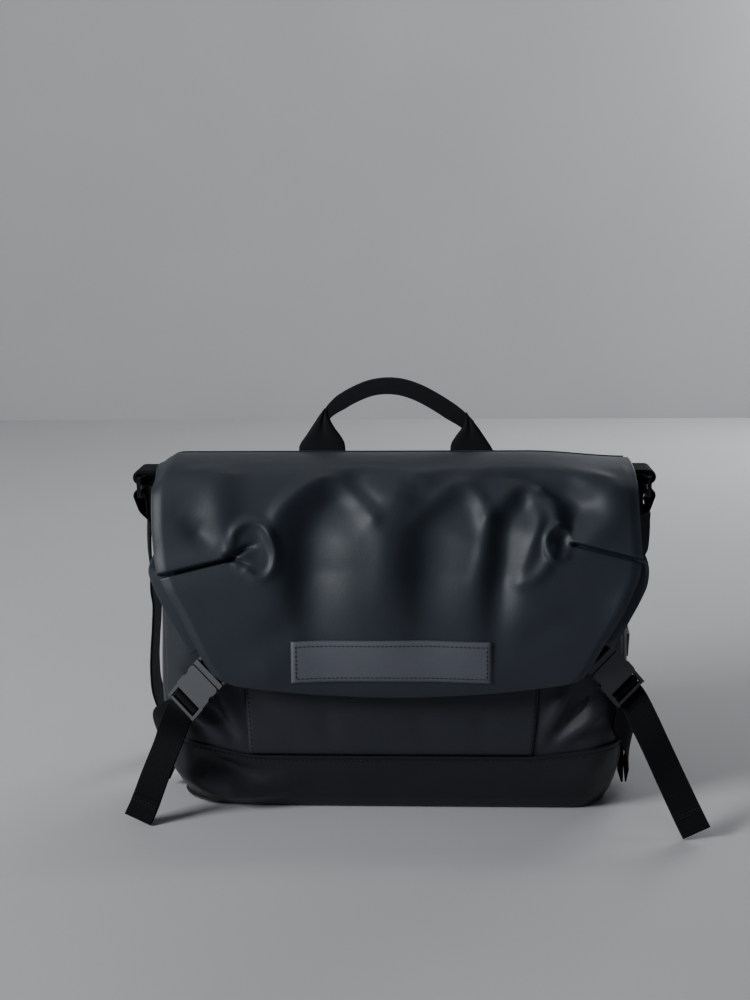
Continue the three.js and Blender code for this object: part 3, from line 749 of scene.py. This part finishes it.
RIDGES = (
    (5.0, 6, 8, (0.4, 1, 0.5),
     ((-101, 248), (-95, 264), (-81, 278), (-61, 288), (-45, 289), (-29, 279), (-15, 262))),
    (3.5, 16, 13, (0.7, 1, 0.1), ((-15, 262), (-6, 248), (-4, 226), (-9, 185))),
    (3.8, 6, 8, (0.1, 1, 0.8), ((13, 253), (30, 268), (50, 283), (63, 285), (75, 276), (81, 260))),
    (3.4, 12, 7, (0.8, 1, 0.1), ((81, 260), (78, 235), (69, 200))),
    (2.2, 6, 6, (0.2, 1, 0.7), ((83, 260), (97, 276), (111, 284), (124, 281))),
    (3.2, 5, 5, (0.6, 1, 0.3), ((117, 277), (123, 259), (116, 236), (108, 216))),
    (4.2, 5, 6, (0.6, 1, 0.5), ((124, 281), (136, 269), (139, 254), (134, 232), (121, 213), (107, 208))),
    (5.0, 9, 11, (0.5, 1, 0.3),
     ((104, 305), (133, 300), (159, 296), (180, 288), (188, 270), (180, 254), (167, 245))),
    (4.5, 13, 15, (0.6, 1, 0.2), ((-147, 292), (-144, 268), (-136, 238))),
    (4.0, 14, 14, (0.4, 1, 0.4), ((-189, 284), (-163, 292), (-141, 290))),
    (2.2, 8, 8, FADING, ((-14, 280), (4, 278), (19, 269))),
    (2.0, 8, 8, FADING, ((7, 298), (24, 294), (33, 287))),
    (2.5, 10, 10, FADING, ((109, 192), (124, 182), (155, 182))),
    (2.5, 9, 9, FADING, ((206, 214), (192, 192), (181, 170))),
    (2.5, 12, 12, FADING, ((-127, 126), (-104, 134), (-81, 140))),
)
# The puckers at the inner ends of the pleats, which aren't softened.
PUCKERS = (
    (4.2, 4.6, 3.6, (0.5, 1, 0.4),
     ((-133, 236), (-132, 246), (-127, 253), (-119, 256.5), (-108, 254), (-101, 245),
      (-97, 232), (-99, 220), (-105, 213.5), (-113, 213), (-120, 218))),
    (-6.0, 2.6, 2.6, (1, 0.9, 0.1), ((-136, 229), (-124, 236), (-113, 240))),
    (-3.5, 1.8, 1.8, (1, 0.8, 0.1), ((-134, 228), (-126, 226), (-118, 223))),
    (3.6, 3.8, 3.2, (0.6, 1, 0.3),
     ((150, 242), (148, 249), (142, 254), (134, 252), (129, 244), (130, 233), (137, 227), (145, 229))),
)
PLEATS = (((-197, 214), (-134, 229)), ((210, 227), (152, 241)))

# The flap's left and right edges by height.
EDGE_HEIGHTS = (105, 115, 122, 129, 142, 156, 182, 200, 214, 228, 252, 284, 310)
EDGE_LEFT = (113, 128, 140, 150, 158, 165, 178, 189, 196, 199, 202, 204, 203)
EDGE_RIGHT = (123, 138, 152, 161, 169, 176, 192, 201, 207, 209, 208, 207, 207)


def soften(grid, reach):
    """A grid smoothed over a few of its cells."""
    steps = np.arange(-3 * reach, 3 * reach + 1)
    weights = np.exp(-0.5 * (steps / reach) ** 2)
    weights /= weights.sum()
    for axis in (0, 1):
        ends = [(3 * reach, 3 * reach) if k == axis else (0, 0) for k in (0, 1)]
        padded = np.pad(grid, ends, mode="edge")
        count = grid.shape[axis]
        grid = sum(w * padded.take(range(i, i + count), axis=axis) for i, w in enumerate(weights))
    return grid


def flap_relief(x, z):
    """The flap's folds and pleats: how far each point stands out, in mm. The top edge has none."""
    wide, narrow = np.zeros(x.shape), np.zeros(x.shape)
    for row in VALLEYS + RIDGES:
        chosen = wide if row[1] + row[2] > WIDE_FOLD else narrow
        chosen += fold(x, z, *row)
    relief = soften(soften(wide, 4) + narrow, 2)
    for outer, inner in PLEATS:
        relief += pleat_relief(x, z, outer, inner)
    for row in PUCKERS:
        relief += fold(x, z, *row)
    relief -= 1.6 * bump_at(x, z, -113, 236, 10, 14)
    relief -= 4.0 * bump_at(x, z, 140, 243, 6, 8)
    return relief * smoothstep(-z, -303, -291)


def pleat_relief(x, z, outer, inner):
    """A sewn pleat from the flap's side to its inner end: the upper layer laps over the lower one."""
    a, b = np.array(outer, float), np.array(inner, float)
    length = np.linalg.norm(b - a)
    d = (b - a) / length
    t = (x - a[0]) * d[0] + (z - a[1]) * d[1]
    above = ((z - a[1]) * d[0] - (x - a[0]) * d[1]) * np.sign(d[0])
    inside = smoothstep(t, -14, -4) * (1 - smoothstep(t, length - 3, length + 5))
    upper = 3.4 * np.exp(-((above / 15) ** 2))
    lower = -1.6 * np.exp(-((above / 10) ** 2))
    step = smoothstep(above, -0.9, 0.9)
    crease = -4.5 * np.exp(-(((above + 1.0) / 1.25) ** 2))
    return inside * (lower + (upper - lower) * step + crease)


def flap_frame():
    """The flap's middle line by run from the hinge: run, y, z and outward normal (in YZ)."""
    line = curve([(0, y, z) for y, z in FLAP_PROFILE], FLAP_LINE)
    along = unit(np.gradient(line, axis=0))
    normal = np.stack([-along[:, 2], along[:, 1]], axis=-1)
    normal *= -np.sign(normal[FLAP_LINE // 2, 0])
    return run_along(line), line[:, 1], line[:, 2], normal


def flap_y(z):
    """The middle line's y at heights on the flap's front."""
    _, line_y, line_z, _ = flap_frame()
    return np.interp(-z, -line_z[FLAP_FRONT:], line_y[FLAP_FRONT:])


def corner_droop(x, z):
    """How far the flap's top corners droop, the left one more steeply."""
    return (smoothstep(-x, 188, 208) * 9 + smoothstep(x, 120, 206) * 5) * smoothstep(z, 278, 298)


def flap_points(columns, rows):
    """The flap's grid, row by row from the hinge to the lower edge."""
    run, line_y, line_z, line_normal = flap_frame()
    s, v = np.meshgrid(np.linspace(-1, 1, columns), np.linspace(0, 1, rows))
    x = s * FLAP_TOP_HALF
    for _ in range(4):  # the lower edge's height and the width at each height depend on each other
        lowest = FLAP_FOOT + FLAP_FOOT_RISE * x**2
        at = v * np.interp(-lowest, -line_z[FLAP_FRONT:], run[FLAP_FRONT:])
        z = np.interp(at, run, line_z)
        in_front = smoothstep(at, 40, 70)
        left, right = (np.interp(z, EDGE_HEIGHTS, edge) for edge in (EDGE_LEFT, EDGE_RIGHT))
        x = s * (FLAP_TOP_HALF * (1 - in_front) + np.where(s < 0, left, right) * in_front)
    y = np.interp(at, run, line_y)
    normal_y, normal_z = (np.interp(at, run, line_normal[:, k]) for k in (0, 1))
    relief = flap_relief(x, z) * smoothstep(at, 45, 75)
    relief += (0.8 - 2.2 * smoothstep(s * s, 0.9, 1.0)) * in_front
    points = np.stack([x, y + normal_y * relief, z + normal_z * relief], axis=-1)
    points[..., 2] -= corner_droop(x, z)
    return points


def add_flap():
    points = flap_points(420, 330)
    faces = grid_faces(*points.shape[:2])[:, ::-1]
    flap = make_object("flap", points.reshape(-1, 3), faces, COATED, LINING)
    solidify(flap, FLAP_THICK, material_offset=1, material_offset_rim=0)
    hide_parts("flap_top_panel", "flap_front_panel")
    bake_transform(flap)


EDGE_BAND = {  # outer edge (x, z)
    "left": ((-200, 232), (-205, 216), (-198, 198), (-187, 178), (-174, 156), (-161, 136)),
    "right": ((209, 236), (216, 216), (211, 200), (201, 182), (189, 160), (176, 142)),
}
EDGE_BAND_WIDTH = 22
EDGE_BAND_BEHIND = 5.5


def add_edge_band(side, sign):
    """The strip sewn behind each slanting edge of the flap, which carries the buckle's tab."""
    line = evenly([(x, 0, z) for x, z in EDGE_BAND[side]], 70)
    line = curve(line[::10], 70)
    line[:, 1] = flap_y(line[:, 2]) + EDGE_BAND_BEHIND
    inward = unit(np.cross(np.gradient(line, axis=0), (0, 1.0, 0)))
    inward *= np.sign(-sign * inward[:, :1])
    centres = line + inward * EDGE_BAND_WIDTH / 2
    section = flat_section(EDGE_BAND_WIDTH, 2.2)
    made = sweep(f"flap_edge_band_{side}", centres, inward, section, COATED)
    assign(made, "flap_front", "coated_fabric")


def add_patch():
    """The blank label patch with its line of stitches."""
    half_w, half_h, z0, inset = 84.0, 18.0, 142.0, 4.0
    rows, columns = 26, 80
    x, v = np.meshgrid(np.linspace(-half_w, half_w, columns), np.linspace(-half_h, half_h, rows))
    z = z0 + v + 1.6 * (1 - (x / half_w) ** 2)
    edge = np.minimum(half_w - np.abs(x), half_h - np.abs(v))
    y = flap_y(z) - flap_relief(x, z) - 1.3 - 1.5 * (1 - np.exp(-((edge / 0.9) ** 2)))
    points = np.stack([x, y, z], axis=-1)
    patch = cloth("label_patch_skin", points, 1.2, PATCH)
    assign(patch, "flap_front", "patch_leather", "label_patch")
    u = round(inset / (2 * half_w) * (columns - 1))
    v = round(inset / (2 * half_h) * (rows - 1))
    rim = [points[v, u:-u], points[v:-v, -u - 1], points[-v - 1, u:-u][::-1], points[v:-v, u][::-1]]
    stitch_line("flap_front", np.vstack(rim), (0, -1, 0), pitch=3.6, length=2.6, thick=0.65)


def add_hem():
    """The flap's edge, sewn to the top of the back panel."""
    z = np.array([289, 290, 293, 295.4])
    y = 39.6 + 0.3 * np.sin(z / 3)
    x = np.linspace(-200, 200, 60)
    grid = np.array([[(a, b, c) for a in x] for b, c in zip(y, z)])
    made = cloth("flap_hem_strip", grid, 2.6, COATED, offset=0)
    assign(made, "root", "coated_fabric", "flap_hem")


HINGE_HALF = 203
HINGE_PROFILE = ((41.2, 290.5), (41.7, 295), (41.9, 298.4), (39.6, 300.4), (34.5, 301.6), (30, 302.5))


def add_flap_hinge():
    """The sewn edge that joins the flap to the back panel."""
    profile = curve(HINGE_PROFILE, 24)
    x, y = np.meshgrid(np.linspace(-HINGE_HALF, HINGE_HALF, 80), profile[:, 0])
    z = np.broadcast_to(profile[:, 1:], x.shape)
    grid = np.stack([x, y, z - corner_droop(x, z)], axis=-1)
    made = cloth("flap_hinge", grid, 1.2, COATED, offset=0)
    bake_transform(made)


# ---- handle

HANDLE_Y = 48
HANDLE_GRIP = (  # middle line (x, z)
    (-62, 329), (-57, 336), (-46, 344.6), (-33, 351.8), (-19.5, 356.9), (-5.5, 358.6),
    (8, 357.2), (22, 352.4), (36, 345), (50, 336), (62, 327.5), (68, 322),
)
HANDLE_FEET = {  # edges from bottom to top: height, outer x, inner x
    "left": (
        (297, -86, -43.5), (304, -85.5, -43.8), (308, -83.5, -44.6), (314, -79, -48),
        (320, -75, -52.5), (326, -71, -56), (332, -67, -58.5), (338, -62.5, -60.5),
    ),
    "right": (
        (297, 91, 50.6), (304, 87, 51), (308, 84.4, 52.4), (314, 80.4, 56.4),
        (320, 76.4, 61), (326, 71.8, 63.5), (332, 67, 64.5), (334, 66, 65),
    ),
}
HANDLE_ANCHOR_X = 66


def add_handle_foot(side):
    """The wide end of the handle, folded together towards the grip."""
    heights, outer_x, inner_x = np.array(HANDLE_FEET[side], float).T
    z = np.linspace(heights[0], heights[-1], 50)[:, None]
    outer, inner = np.interp(z, heights, outer_x), np.interp(z, heights, inner_x)
    left, right = np.minimum(outer, inner), np.maximum(outer, inner)
    s = np.linspace(0, 1, 40)[None, :]
    x = left + (right - left) * s
    zz = np.broadcast_to(z, x.shape)
    rise = smoothstep(zz, 300, 336)
    rim = 1 - np.abs(2 * s - 1) ** 6
    thick = (1.5 + 1.6 * rise) * (0.35 + 0.65 * rim)
    crease = 1.2 * rise * np.exp(-(((s - 0.5) / 0.12) ** 2))
    front, back = HANDLE_Y - thick + crease, HANDLE_Y + thick
    made = shell(f"handle_foot_{side}_panel", x, zz, front, back, WEBBING_FINE)
    assign(made, "handle", "webbing")


def add_handle():
    centres = curve([(x, HANDLE_Y, z) for x, z in HANDLE_GRIP], 160)
    across = np.cross((0, 1.0, 0), unit(np.gradient(centres, axis=0)))
    share = np.linspace(0, 1, len(centres))
    wide = np.interp(share, (0, 0.06, 0.14, 0.5, 0.86, 1), (7, 10.5, 14, 15.4, 15.4, 12))
    thick = np.interp(share, (0, 0.1, 0.5, 0.9, 1), (3.2, 5.2, 5.8, 5.2, 3.2))
    section = strap_section(1.0, 1.0, 6, 0.035)
    made = sweep("grab_handle", centres, across, section, WEBBING_FINE, wide, thick)
    assign(made, "handle", "webbing", "handle")
    for side, _ in SIDES:
        add_handle_foot(side)
    for side, sign in SIDES:
        add_handle_anchor(side, sign * HANDLE_ANCHOR_X)


def add_handle_anchor(side, x):
    """The webbing that holds a foot of the handle, sewn to the back with a box and one diagonal."""
    path = [(x, HANDLE_Y - 0.4, z) for z in np.linspace(262, 294.2, 14)]
    made = sweep(f"handle_foot_{side}", path, (1, 0, 0), strap_section(38, 2.4, 14), WEBBING)
    assign(made, "root", "webbing", f"handle_anchor_{side}")
    box = ((-15, 266), (15, 266), (15, 288), (-15, 288), (-15, 266))
    for corners, count in ((box, 60), ((box[0], box[2]), 20)):
        line = evenly([(x + a, HANDLE_Y + 0.8, b) for a, b in corners], count)
        stitch_line("root", line, (0, 1, 0))


# ---- buckles and side straps

BUCKLE_ORIGIN = {"left": np.array([-172.5, -62.6, 106]), "right": np.array([193.2, -62.2, 120])}
BUCKLE_ALONG = unit([-0.64, -0.05, 0.76])
BUCKLE_OUTWARD = np.array([0.34, -0.93, 0.12])
LADDER_BAR_Y = -6
LADDER_BAR_RADIUS = 1.8
WEB_SECTION = strap_section(WEB_WIDTH, WEB_THICKNESS, 11)


def buckle_frame(side, sign):
    """Across, along, outward and origin of a buckle's own frame."""
    mirror = np.array([sign, 1, 1])
    along = BUCKLE_ALONG * mirror
    outward = BUCKLE_OUTWARD * mirror
    outward = unit(outward - outward.dot(along) * along)
    return np.cross(along, outward), along, outward, BUCKLE_ORIGIN[side]


def placed(side, sign, points):
    """Points given in a buckle's own frame."""
    across, along, outward, origin = buckle_frame(side, sign)
    p = np.atleast_2d(np.asarray(points, float))
    return origin + p[:, :1] * across + p[:, 1:2] * along + p[:, 2:] * outward


def half_turn(centre, radius, start, towards, steps=10):
    angle = np.linspace(0, np.pi, steps + 1)[:, None]
    spoke = np.cos(angle) * np.asarray(start) + np.sin(angle) * np.asarray(towards)
    return np.asarray(centre, float) + radius * spoke


TAIL = {
    "left": ((-190, -76, 72), (-203, -81, 40), (-212, -87, 16), (-217, -91, 5.2)),
    "right": ((219, -77, 76), (235, -89, 42), (247, -102, 17), (253, -109, 5.2)),
}
TAIL_HEM_POINTS = 34


def add_side_strap(side, sign):
    """From the base, up under the end bar, over the ladder bar and back under it as a tail."""
    turn = LADDER_BAR_RADIUS + 0.3 + WEB_THICKNESS / 2
    rising = np.array([(208.4, 2, 13), (209, -8, 30), (207.5, -26, 54), (200, -45, 79)]) * (sign, 1, 1)
    bar = placed(side, sign, half_turn((0, LADDER_BAR_Y, 0), turn, (0, 1, 0), (0, 0, 1)))
    under = placed(side, sign, [(0, -18, -6.4), (0, -10, -5.8), (0, -4.6, -3.6)])
    below = placed(side, sign, [(0, -9.8, -2), (0, -12.7, -3.2), (0, -18, -3.4)])
    up = curve(np.vstack([rising, under[:1]]), 40)
    down = curve(np.vstack([below[1:], TAIL[side]]), 70)
    centres = evenly(np.vstack([up, under[1:], bar, below[:1], down]), 260)
    level = buckle_frame(side, sign)[0] * -sign
    tip = (-0.93 * sign, -0.12, -0.36)
    across = lerp_directions(
        len(centres),
        (0.0, (0, -1, 0)), (0.06, (0, -1, 0)), (0.32, level), (0.7, level), (0.96, tip), (1.0, tip),
    )
    made = sweep(f"side_webbing_{side}", centres, across, WEB_SECTION, WEBBING)
    assign(made, "root", "webbing", f"side_strap_{side}")
    add_tail_hem(side, centres[-TAIL_HEM_POINTS:], across[-TAIL_HEM_POINTS:])


def add_tail_hem(side, centres, across):
    """The tail's end, folded back on itself and stitched."""
    along = unit(np.gradient(centres, axis=0))
    up = unit(np.cross(along, across))
    up *= np.sign(-up[:, 1:2])
    start, seam = 12, 4
    layer = centres[start:] + up[start:] * (WEB_THICKNESS * 0.98)
    section = strap_section(WEB_WIDTH - 0.3, WEB_THICKNESS, 11)
    assign(sweep(f"tail_hem_{side}", layer, across[start:], section, WEBBING), "root", "webbing")
    width = np.linspace(-0.44, 0.44, 12)[:, None] * WEB_WIDTH
    at = start + seam
    for shift in (0.0, 2.2):
        line = layer[seam] + across[at] * width + along[at] * shift + up[at] * WEB_THICKNESS / 2
        stitch_line("root", line, up[at], pitch=2.6, length=2.0, thick=0.6)


def add_buckle_tab(side, sign):
    """The loop of webbing that holds the male half to the flap."""
    local = np.vstack([
        [(0, 60, 4.4), (0, 48, 4.6)],
        half_turn((0, 36.25, 0), 4.4, (0, 0, 1), (0, -1, 0)),
        [(0, 48, -2.6), (0, 60, 1.6)],
    ])
    centres = evenly(placed(side, sign, local), 50)
    across, along, _, _ = buckle_frame(side, sign)
    made = sweep(f"buckle_loop_{side}", centres, across, WEB_SECTION, WEBBING)
    assign(made, "flap_front", "webbing", f"buckle_tab_{side}")
    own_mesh(made)


def add_strap_anchor(side, sign):
    """The side strap's foot, sewn to the base."""
    path = [(sign * 204.4, 2.0, z) for z in np.linspace(8, 40, 12)]
    made = sweep(f"strap_base_{side}", path, (0, 1, 0), strap_section(28, 1.8, 11), WEBBING)
    assign(made, "root", "webbing", f"strap_anchor_{side}")


# ---- corner loops and shoulder strap

HANGER_X = 221
HANGER_Y = 14
RING_BAR_Z = 285
RING_HEIGHT = 16
STRAP_TURN = 5.4

# The route behind the bag, from the left ring to the right one.
STRAP_LEFT = (
    (-215.6, 14.5, 257), (-218.5, 17, 238), (-220.5, 23, 215), (-221.5, 32, 190), (-219.5, 41, 165),
    (-222, 48, 140), (-225.5, 54, 115), (-228, 60, 91), (-228, 68, 66), (-221, 76, 40),
    (-204, 82.5, 19), (-178, 86, 8), (-145, 89, 3.4), (-100, 92, 2.2),
)
STRAP_BACK = ((-50, 94, 2.2), (0, 95, 2.2), (50, 94, 2.2), (100, 92, 2.2))
STRAP_RIGHT = (
    (140, 91, 4.5), (165, 89, 12), (184, 86.5, 27), (197, 83, 44), (206, 79, 62), (210, 74.5, 80),
    (211, 70.4, 96), (211, 66.2, 111), (211, 62, 126), (211, 57.8, 141), (211, 53.6, 156),
    (213.5, 47, 174), (217, 36, 194), (218.5, 25, 215), (218, 17, 238), (215.6, 14.5, 257),
)
STRAP_FOLD = ((-3, 17, 236), (-2.6, 15.6, 246), (1.5, 14.4, 257))  # its ends: out from the ring, y, z


def strap_end(sign):
    folded = [(sign * (HANGER_X + out), y, z) for out, y, z in STRAP_FOLD]
    bar = (sign * HANGER_X, HANGER_Y, RING_BAR_Z - RING_HEIGHT)
    return np.vstack([folded, half_turn(bar, STRAP_TURN, (sign, 0, 0), (0, 0, 1), 8)])


def add_shoulder_strap():
    run = curve(STRAP_LEFT + STRAP_BACK + STRAP_RIGHT, 240)
    centres = evenly(np.vstack([strap_end(-1), run, strap_end(1)[::-1]]), 420)
    section = strap_section(STRAP_WIDTH, STRAP_THICKNESS, 16)
    turned = smoothstep(centres[:, 2], 175, 205) * (1 - smoothstep(centres[:, 2], 246, 258))
    lean = np.sign(centres[:, 0]) * turned * (0.25 + 0.4 * (centres[:, 0] > 0))
    across = unit(np.stack([lean, np.ones(len(lean)), np.zeros(len(lean))], axis=-1))
    made = sweep("shoulder_webbing", centres, across, section, WEBBING)
    assign(made, "root", "webbing", "shoulder_strap")


def add_corner_tab(side, sign):
    """The webbing sewn to the bag's top corner that holds the ring."""
    turn = 4.4
    inner, outer = sign * 206.4, sign * 209
    over, under = RING_BAR_Z + turn, RING_BAR_Z - turn
    line = np.vstack([
        [(inner, HANGER_Y, over), (outer, HANGER_Y, over)],
        half_turn((sign * HANGER_X, HANGER_Y, RING_BAR_Z), turn, (0, 0, 1), (sign, 0, 0)),
        [(outer, HANGER_Y, under - 0.9), (inner, HANGER_Y, under - 1)],
    ])
    section = strap_section(34, 4.2, 14)
    made = sweep(f"corner_loop_{side}", evenly(line, 60), (0, 1, 0), section, WEBBING)
    assign(made, "root", "webbing", f"corner_tab_{side}")


# ---- inside


def add_lining():
    foot = 4.0
    heights = np.concatenate([[foot, foot], np.arange(8, MOUTH - 4, 6.0), [MOUTH - 0.6]])
    outset = np.full(len(heights), -2.9)
    outset[:2] = (-30, -6)
    rows, _ = body_surface(heights, outset, lambda p, n: p[:, 0] * 0)
    made = make_object("lining_bag", *with_floor(rows, foot), LINING)
    solidify(made, 0.5)
    assign(made, "root", "lining_cloth", "lining")


def add_binding():
    """The folded tape that binds the mouth."""
    p, n = (closed(line) for line in body_ring(MOUTH))
    centres = p - n * 1.4 + np.array([0, 0, 1.6])
    made = sweep("mouth_binding", centres, n, flat_section(4.8, 3.2, 3), LINING)
    assign(made, "root", "webbing", "rim_binding")


def padded_plate(name, node, half_width, z0, z1, y_front, thickness):
    """A quilted pad standing in the XZ plane, its front at y_front(z)."""
    quilting = 60  # distance between its seams
    x, z = np.meshgrid(np.linspace(-1, 1, 60) * half_width, np.linspace(z0, z1, 50))
    edge = np.minimum(half_width - np.abs(x), np.minimum(z - z0, z1 - z))
    swell = thickness / 2 * (1 - np.exp(-(((edge + 0.6) / 5) ** 1.2)))
    swell *= 1 - 0.25 * np.abs(np.cos(np.pi * x / quilting)) ** 24
    middle = y_front(z) + thickness / 2
    made = shell(name, x, z, middle - swell, middle + swell, LINING)
    assign(made, "root", "lining_cloth", node)


def add_inside():
    add_lining()
    add_binding()
    padded_plate("laptop_divider_pad", "laptop_divider", 184, 7.6, 250, lambda z: z * 0 + 18, 6)
    padded_plate("back_pad", "back_foam", 165, 8, 275, lambda z: section_at(z)[2] - 9.4, 5.6)


# ---- hard parts from the CAD

HARD_LOOKS = {  # start of the CAD node's name: material, bevel
    "buckle_female": (PLASTIC, 0.9), "buckle_male": (PLASTIC, 0.8), "buckle_prong": (PLASTIC, 0.5),
    "strap_slider": (PLASTIC, 0.5), "ring": (METAL, 1.0), "base_board": (BOARD, 0.8),
}


def finish_hard_parts():
    for name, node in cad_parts.items():
        for start, (material, bevel) in HARD_LOOKS.items():
            if name.startswith(start):
                node.data.materials.clear()
                node.data.materials.append(material)
                settings = {"segments": 3, "limit_method": "ANGLE", "angle_limit": 0.6}
                modifier(node, "BEVEL", width=bevel * MM, **settings)


# ---- build

add_camera()
add_shoulder_strap()
add_light()
add_floor()
add_body()
add_pocket()
add_flap()
add_patch()
add_hem()
add_flap_hinge()
add_handle()
for side_and_sign in SIDES:
    add_side_strap(*side_and_sign)
    add_buckle_tab(*side_and_sign)
    add_strap_anchor(*side_and_sign)
    add_corner_tab(*side_and_sign)
    add_edge_band(*side_and_sign)
add_inside()
finish_hard_parts()
add_stitches()
